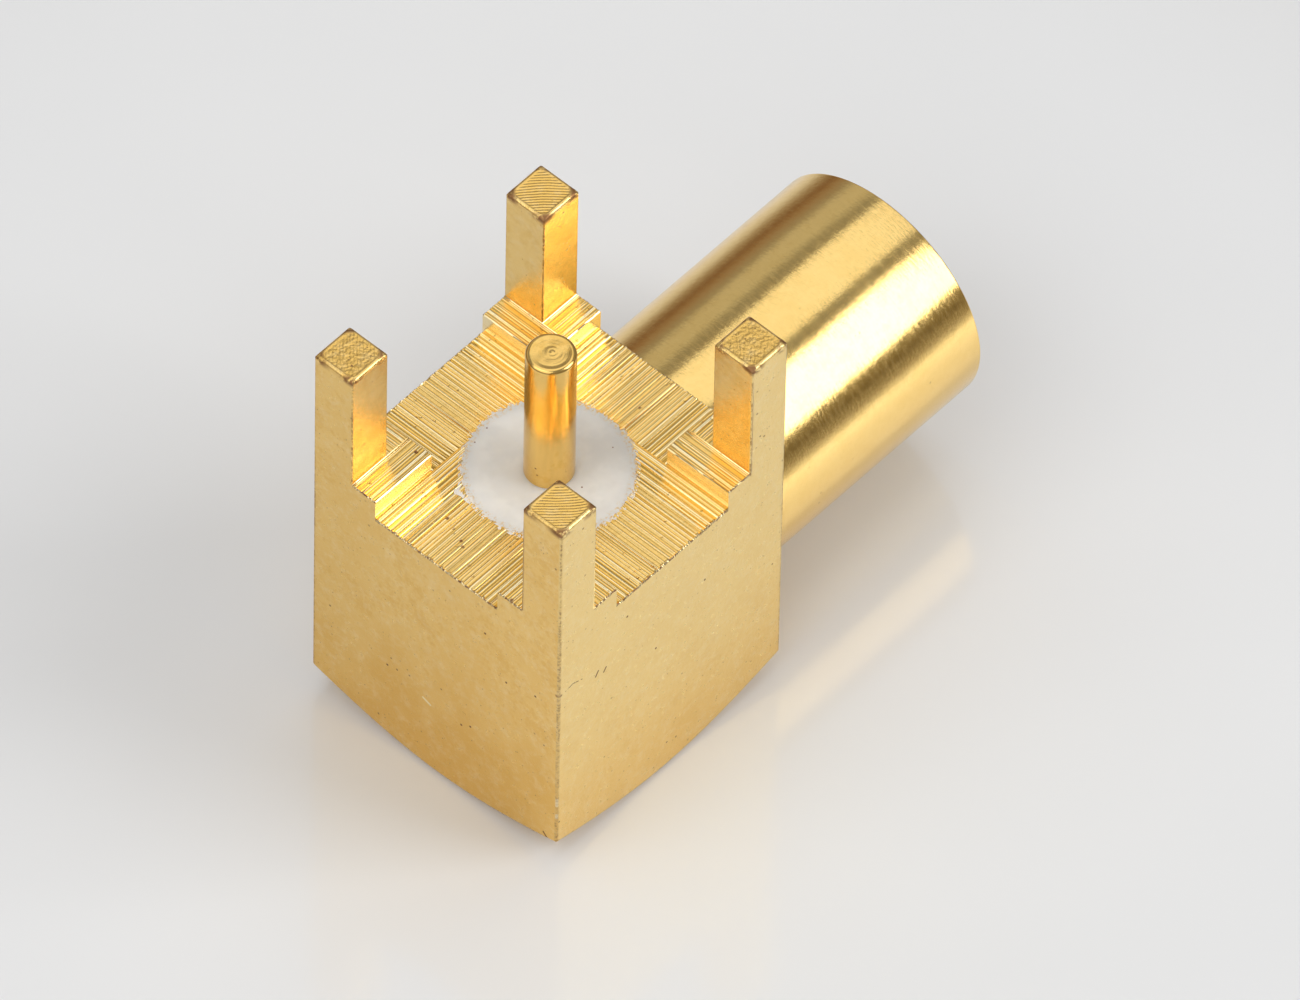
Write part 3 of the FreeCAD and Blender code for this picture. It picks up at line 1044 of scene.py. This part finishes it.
class JACK_OT_body_block(bpy.types.Operator):
    """Build the square body with its milled channels, pads and legs"""

    bl_idname = "jack.body_block"
    bl_label = "Body block"

    def execute(self, context):
        scene = context.scene
        block = Block(scene.jack_block, scene.jack_barrel.spigot_wall)
        worn = worn_corners(block)
        milled = dict(depth=0.003 * MM, roughness=0.12, mottle=0.3, pit_share=0.9, pit_size=0.16,
                      rim=block.pocket, peel=0.8, levels=(block.floor, block.seat))
        looks = {
            "gold_drawn": dict(marks=plain_marks, depth=0.008 * MM, roughness=0.23, mottle=0.9,
                               pit_share=0.7, wear=worn),
            "gold_milled_x": dict(marks=lines_along("x"), **milled),
            "gold_milled_y": dict(marks=lines_along("y"), **milled),
            "gold_wall": dict(marks=plain_marks, depth=0.004 * MM, roughness=0.17, mottle=0.6,
                              pit_share=0.7, wear=worn),
            "gold_turned": dict(marks=cut_grain, depth=0.0055 * MM, roughness=0.13, mottle=0.5,
                                pit_share=0.8, wear=worn, least_deep=0.8),
            # The torn edges turn paler where their marks rise: partly rubbed metal, partly painted
            # highlight.
            "gold_torn": dict(marks=plain_marks, depth=0.009 * MM, roughness=0.10, mottle=0.2,
                              pit_share=0.5, wear=torn_specks, rubbed_and_highlight=0.8),
            # The step walls are painted paler with the rubbed colour: painted highlight.
            "gold_step": dict(marks=lines_along("level"), depth=0.0014 * MM, roughness=0.12,
                              mottle=0.2, pit_share=0.5, rubbed_and_highlight=0.9, peel=0.15),
        }
        finishes = [gold(name, scene.jack_finish, **look) for name, look in looks.items()]
        block.build().piece("body_block", finishes, "gold_body")
        return {"FINISHED"}


class JACK_OT_barrel(bpy.types.Operator):
    """Build the turned barrel with its mouth"""

    bl_idname = "jack.barrel"
    bl_label = "Barrel"

    def execute(self, context):
        sizes, colours = context.scene.jack_barrel, context.scene.jack_finish
        low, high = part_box("barrel")
        outer, reach = high.y, high.x
        bore = mount("jack_bore")["dims"]["r_mm"] * MM
        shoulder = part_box("body_block")[1].x
        spigot, groove = bore + sizes.spigot_wall, bore + sizes.groove_depth
        land_end = reach - sizes.lead_in - sizes.land
        groove_end = land_end - sizes.groove_width
        rows = [(shoulder + part * (reach - shoulder), outer) for part in (0.0, 0.3, 0.7)]
        outline = [
            (low.x, bore), (low.x, spigot), (shoulder, spigot), *rows,
            *rounded(reach, outer, sizes.rim_round, 7),
            (reach, bore + sizes.lead_in), (reach - sizes.lead_in, bore), (land_end, bore),
            (land_end - sizes.groove_depth, groove), (groove_end + sizes.groove_depth, groove),
            (groove_end, bore),
        ]
        skin = Skin()
        skin.turn(outline, sizes.segments, jack_height())
        finish = gold("gold_barrel", colours, rings_level, depth=0.0028 * MM, roughness=0.06,
                      mottle=0.22, pit_share=0.35, streaks=0.08, peel=0.55)
        skin.piece("barrel", [finish], "gold_barrel")
        return {"FINISHED"}


class JACK_OT_contacts(bpy.types.Operator):
    """Build the tail pin and finish the centre contact"""

    bl_idname = "jack.contacts"
    bl_label = "Contacts"

    def execute(self, context):
        sizes, colours = context.scene.jack_contact, context.scene.jack_finish
        low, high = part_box("tail_pin")
        radius, tip, floor = high.x, high.z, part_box("base_insulator")[1].z
        edge = radius - sizes.tip_round
        face = [(tip, edge * part) for part in np.linspace(1, 0, 44)[1:]]
        outline = [(low.z, 0), (low.z, sizes.neck_radius), (floor, sizes.neck_radius),
                   (floor, radius), (floor + 0.5 * (tip - floor), radius),
                   *rounded(tip, radius, sizes.tip_round, 6), *face]
        rng = np.random.default_rng(PIN_SEED)

        def rings(place, r, turn):
            """Rings, lumps and the pip that the lathe left on the pin's end, a little off centre."""
            x, y = r * np.cos(turn), r * np.sin(turn)
            off = np.hypot(x - 0.02 * MM, y + 0.015 * MM)
            uneven = lattice(rng, x / (0.16 * MM), y / (0.16 * MM))
            strong = (0.06 + 0.9 * np.exp(-(off / (0.14 * MM)) ** 2)) * (0.6 + 0.4 * uneven)
            wave = np.sin(2 * pi * off / sizes.ring_pitch + 1.2 * uneven) * strong
            pip = np.exp(-(off / (0.04 * MM)) ** 2)
            height = (0.3 * wave + 0.9 * pip + 0.4 * uneven - 1) * edge_fade(edge - r, 0.07 * MM)
            on_end = place > tip - WELD / 2
            return np.where(on_end, sizes.ring_depth * np.minimum(height, 0), 0)

        skin = Skin()
        skin.turn(outline, sizes.segments, wobble=rings)
        finish = gold("gold_pin", colours, rings_upright, depth=0.002 * MM, roughness=0.12,
                      mottle=0.9, pit_share=0.6, least_deep=0.55)
        skin.piece("tail_pin", [finish], "gold_contact")
        contact = frame["nodes"]["socket_contact"]
        contact.data.materials.clear()
        contact.data.materials.append(gold("gold_socket", colours, rings_level, depth=0.003 * MM,
                                           roughness=0.12, mottle=0.2, pit_share=0.3))
        return {"FINISHED"}


class JACK_OT_insulators(bpy.types.Operator):
    """Build the washer round the tail pin and the insulator in the barrel"""

    bl_idname = "jack.insulators"
    bl_label = "Insulators"

    def execute(self, context):
        sizes, colours = context.scene.jack_insulator, context.scene.jack_finish
        self.washer(sizes, colours, context.scene.jack_contact.neck_radius)
        self.barrel_insulator(sizes, colours)
        return {"FINISHED"}

    def washer(self, sizes, colours, neck):
        """The washer, whose rim is torn and smeared over the metal."""
        low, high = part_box("base_insulator")
        rng = np.random.default_rng(WASHER_SEED)
        radius, top = high.x, high.z - sizes.sink
        turn = np.linspace(0, 2 * pi, 260, endpoint=False)[None, :]
        part = np.linspace(0, 1, 44)[:, None]
        front = np.clip(np.cos(turn - sizes.torn_turn), 0, 1)
        fibres = rng.uniform(0, 1, turn.shape) ** 2 * (0.1 + 0.9 * front)
        smear = np.exp(-((turn - sizes.smear_turn) / 0.11) ** 2) * rng.uniform(0.5, 1, turn.shape)
        rim = radius + sizes.overlap + sizes.fibre_length * fibres + sizes.smear_length * smear
        r = neck + (rim - neck) * part
        x, y = r * np.cos(turn), r * np.sin(turn)
        rough = 0.7 * lattice(rng, x / (0.5 * MM), y / (0.5 * MM))
        rough = rough + 0.3 * lattice(rng, x / (0.12 * MM), y / (0.12 * MM))
        lift = 0.014 * MM * np.minimum(fibres + smear, 1) * edge_fade(part - 0.88, 0.1)
        z = top + sizes.unevenness * (rough - 0.4) * (1 - part ** 8) + lift
        face = np.stack([x, y, z], -1)
        flat = np.stack([np.cos(turn[0]), np.sin(turn[0]), 0 * turn[0]], -1)
        under = at_height(face[-1] - 0.012 * MM * flat, top - 0.03 * MM)
        sides = [at_height(flat * away, height)
                 for away, height in ((radius, top - 0.05 * MM), (radius, low.z), (neck, low.z))]
        rows = np.concatenate([face, np.stack([under, *sides, face[0]])])
        skin = Skin()
        skin.grid(rows, 0, middle=np.array([0, 0, (low.z + top) / 2]))
        skin.piece("base_insulator", [ptfe("ptfe_washer", colours, radius)], "ptfe")

    def barrel_insulator(self, sizes, colours):
        """The flange that fills the bore, with the island in front."""
        low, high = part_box("barrel_insulator")
        bore, front = high.y, high.x
        island, relief, r = bore - sizes.gap, sizes.relief_radius, sizes.edge_round
        relief_end = front - sizes.relief_depth
        outline = [
            (low.x, sizes.stem_radius), (low.x, bore), (sizes.flange_front, bore),
            (sizes.flange_front, island), *rounded(front, island, r, 6), (front, relief + r),
            (front - r, relief), (relief_end, relief), (relief_end, sizes.stem_radius),
        ]
        skin = Skin()
        skin.turn(outline, sizes.segments, jack_height())
        skin.piece("barrel_insulator", [ptfe("ptfe_island", colours, NO_RIM)], "ptfe")


# Stage

def facing_back(right, up, back, place):
    """The matrix of a lamp or camera at a place that looks away from back."""
    return Matrix.Translation(place) @ Matrix((right, up, back)).transposed().to_4x4()


class JACK_OT_stage(bpy.types.Operator):
    """Set up the floor, the softboxes, the room and the camera"""

    bl_idname = "jack.stage"
    bl_label = "Stage"

    def execute(self, context):
        sizes = context.scene.jack_stage
        self.floor(context, sizes, context.scene.jack_finish)
        for name, shape in SOFTBOXES.items():
            self.softbox(context, name + "_softbox", *shape, getattr(sizes, name + "_level"))
        self.room(context, sizes)
        self.camera(context, sizes)
        context.scene.view_settings.view_transform = "Standard"
        return {"FINISHED"}

    def floor(self, context, sizes, colours):
        """A large pale sheet that mirrors a little, with painted shade further away."""
        size = sizes.floor_size
        mesh = bpy.data.meshes.new("floor")
        corners = [(-size, -size, 0), (size, -size, 0), (size, size, 0), (-size, size, 0)]
        mesh.from_pydata(corners, [], [(0, 1, 2, 3)])
        made = bpy.data.objects.new("floor", mesh)
        context.scene.collection.objects.link(made)
        n = Finish("floor_sheet")
        cloud = n.spread(n.noise(120, 2.0, 0.5), 0.3, 0.7)
        base = n.blend(cloud, shaded(colours.floor, 0.985), colours.floor)
        # Painted shade: past the pale reach the sheet darkens to the far floor colour, in place of the
        # light falling off.
        far = n.spread(n.measure("LENGTH", n.place), sizes.pale_reach, 2.6 * sizes.pale_reach)
        base = n.blend(far, base, colours.far_floor_shade)
        mesh.materials.append(n.done(Base_Color=base, Roughness=sizes.floor_roughness, IOR=1.49))

    def softbox(self, context, name, direction, half_width, half_height, level):
        """A rectangular lamp that faces the part."""
        back = Vector(direction).normalized()
        lamp = bpy.data.lights.new(name, "AREA")
        lamp.shape = "RECTANGLE"
        lamp.size, lamp.size_y = 2 * half_width * SOFTBOX_DISTANCE, 2 * half_height * SOFTBOX_DISTANCE
        lamp.energy = level * pi * lamp.size * lamp.size_y
        made = bpy.data.objects.new(name, lamp)
        context.scene.collection.objects.link(made)
        right = Vector((0, 0, 1)).cross(back).normalized()
        made.matrix_world = facing_back(right, back.cross(right), back, back * SOFTBOX_DISTANCE)
        made.visible_camera = False

    def room(self, context, sizes):
        """A plain room, darker and warmer toward the horizon, most of all past the part's +y side."""
        world = bpy.data.worlds.new("room")
        context.scene.world = world
        world.use_nodes = True
        n = Nodes(world.node_tree, "Generated")
        _, y, z = n.parts()
        level = n.spread(z, 0.0, 0.28, 0.43 * sizes.room, sizes.room)
        low = n.spread(z, 0.35, 0.02)
        warm = n.times(low, n.spread(y, 0.0, 0.7, 0.2, 0.6))
        red = n.times(level, n.plus(warm, 1.0))
        blue = n.times(level, n.spread(low, 0.0, 1.0, 1.0, 0.68))
        light = n.node("CombineColor", {0: red, 1: level, 2: blue}).outputs[0]
        n.fill(n.tree.nodes["Background"].inputs["Color"], light)

    def camera(self, context, sizes):
        """The camera at the photograph's angle."""
        a, e, roll = sizes.azimuth, sizes.elevation, sizes.roll
        back = Vector((sin(a) * cos(e), -cos(a) * cos(e), sin(e)))
        level = Vector((cos(a), sin(a), 0))
        upward = back.cross(level)
        right = cos(roll) * level + sin(roll) * upward
        up = cos(roll) * upward - sin(roll) * level
        target = Vector((0, 0, sizes.target_height)) + right * sizes.target_right + up * sizes.target_up
        lens = bpy.data.cameras.new("camera")
        lens.sensor_width = SENSOR_WIDTH
        lens.lens = SENSOR_WIDTH * sizes.focal_pixels / PICTURE_WIDTH
        lens.clip_start, lens.clip_end = 0.05, 5.0
        made = bpy.data.objects.new("camera", lens)
        context.scene.collection.objects.link(made)
        made.matrix_world = facing_back(right, up, back, target + back * sizes.distance)
        context.scene.camera = made


class JACK_PT_panel(bpy.types.Panel):
    """Lists the jack's pieces and its stage"""

    bl_idname = "JACK_PT_panel"
    bl_label = "Coaxial jack"
    bl_space_type = "VIEW_3D"
    bl_region_type = "UI"
    bl_category = "Jack"

    def draw(self, context):
        for operator in OPERATORS:
            self.layout.operator(operator.bl_idname)


SETTINGS = {
    "jack_block": BlockSettings,
    "jack_barrel": BarrelSettings,
    "jack_contact": ContactSettings,
    "jack_insulator": InsulatorSettings,
    "jack_finish": FinishSettings,
    "jack_stage": StageSettings,
}
OPERATORS = (JACK_OT_body_block, JACK_OT_barrel, JACK_OT_contacts, JACK_OT_insulators, JACK_OT_stage)


def register():
    for name, group in SETTINGS.items():
        bpy.utils.register_class(group)
        setattr(bpy.types.Scene, name, PointerProperty(type=group))
    for operator in OPERATORS:
        bpy.utils.register_class(operator)
    bpy.utils.register_class(JACK_PT_panel)


def unregister():
    bpy.utils.unregister_class(JACK_PT_panel)
    for operator in reversed(OPERATORS):
        bpy.utils.unregister_class(operator)
    for name, group in reversed(SETTINGS.items()):
        delattr(bpy.types.Scene, name)
        bpy.utils.unregister_class(group)


def main():
    """Make every piece and the stage."""
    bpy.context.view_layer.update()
    register()
    bpy.ops.jack.body_block()
    bpy.ops.jack.barrel()
    bpy.ops.jack.contacts()
    bpy.ops.jack.insulators()
    bpy.ops.jack.stage()


if __name__ == "__main__":
    main()
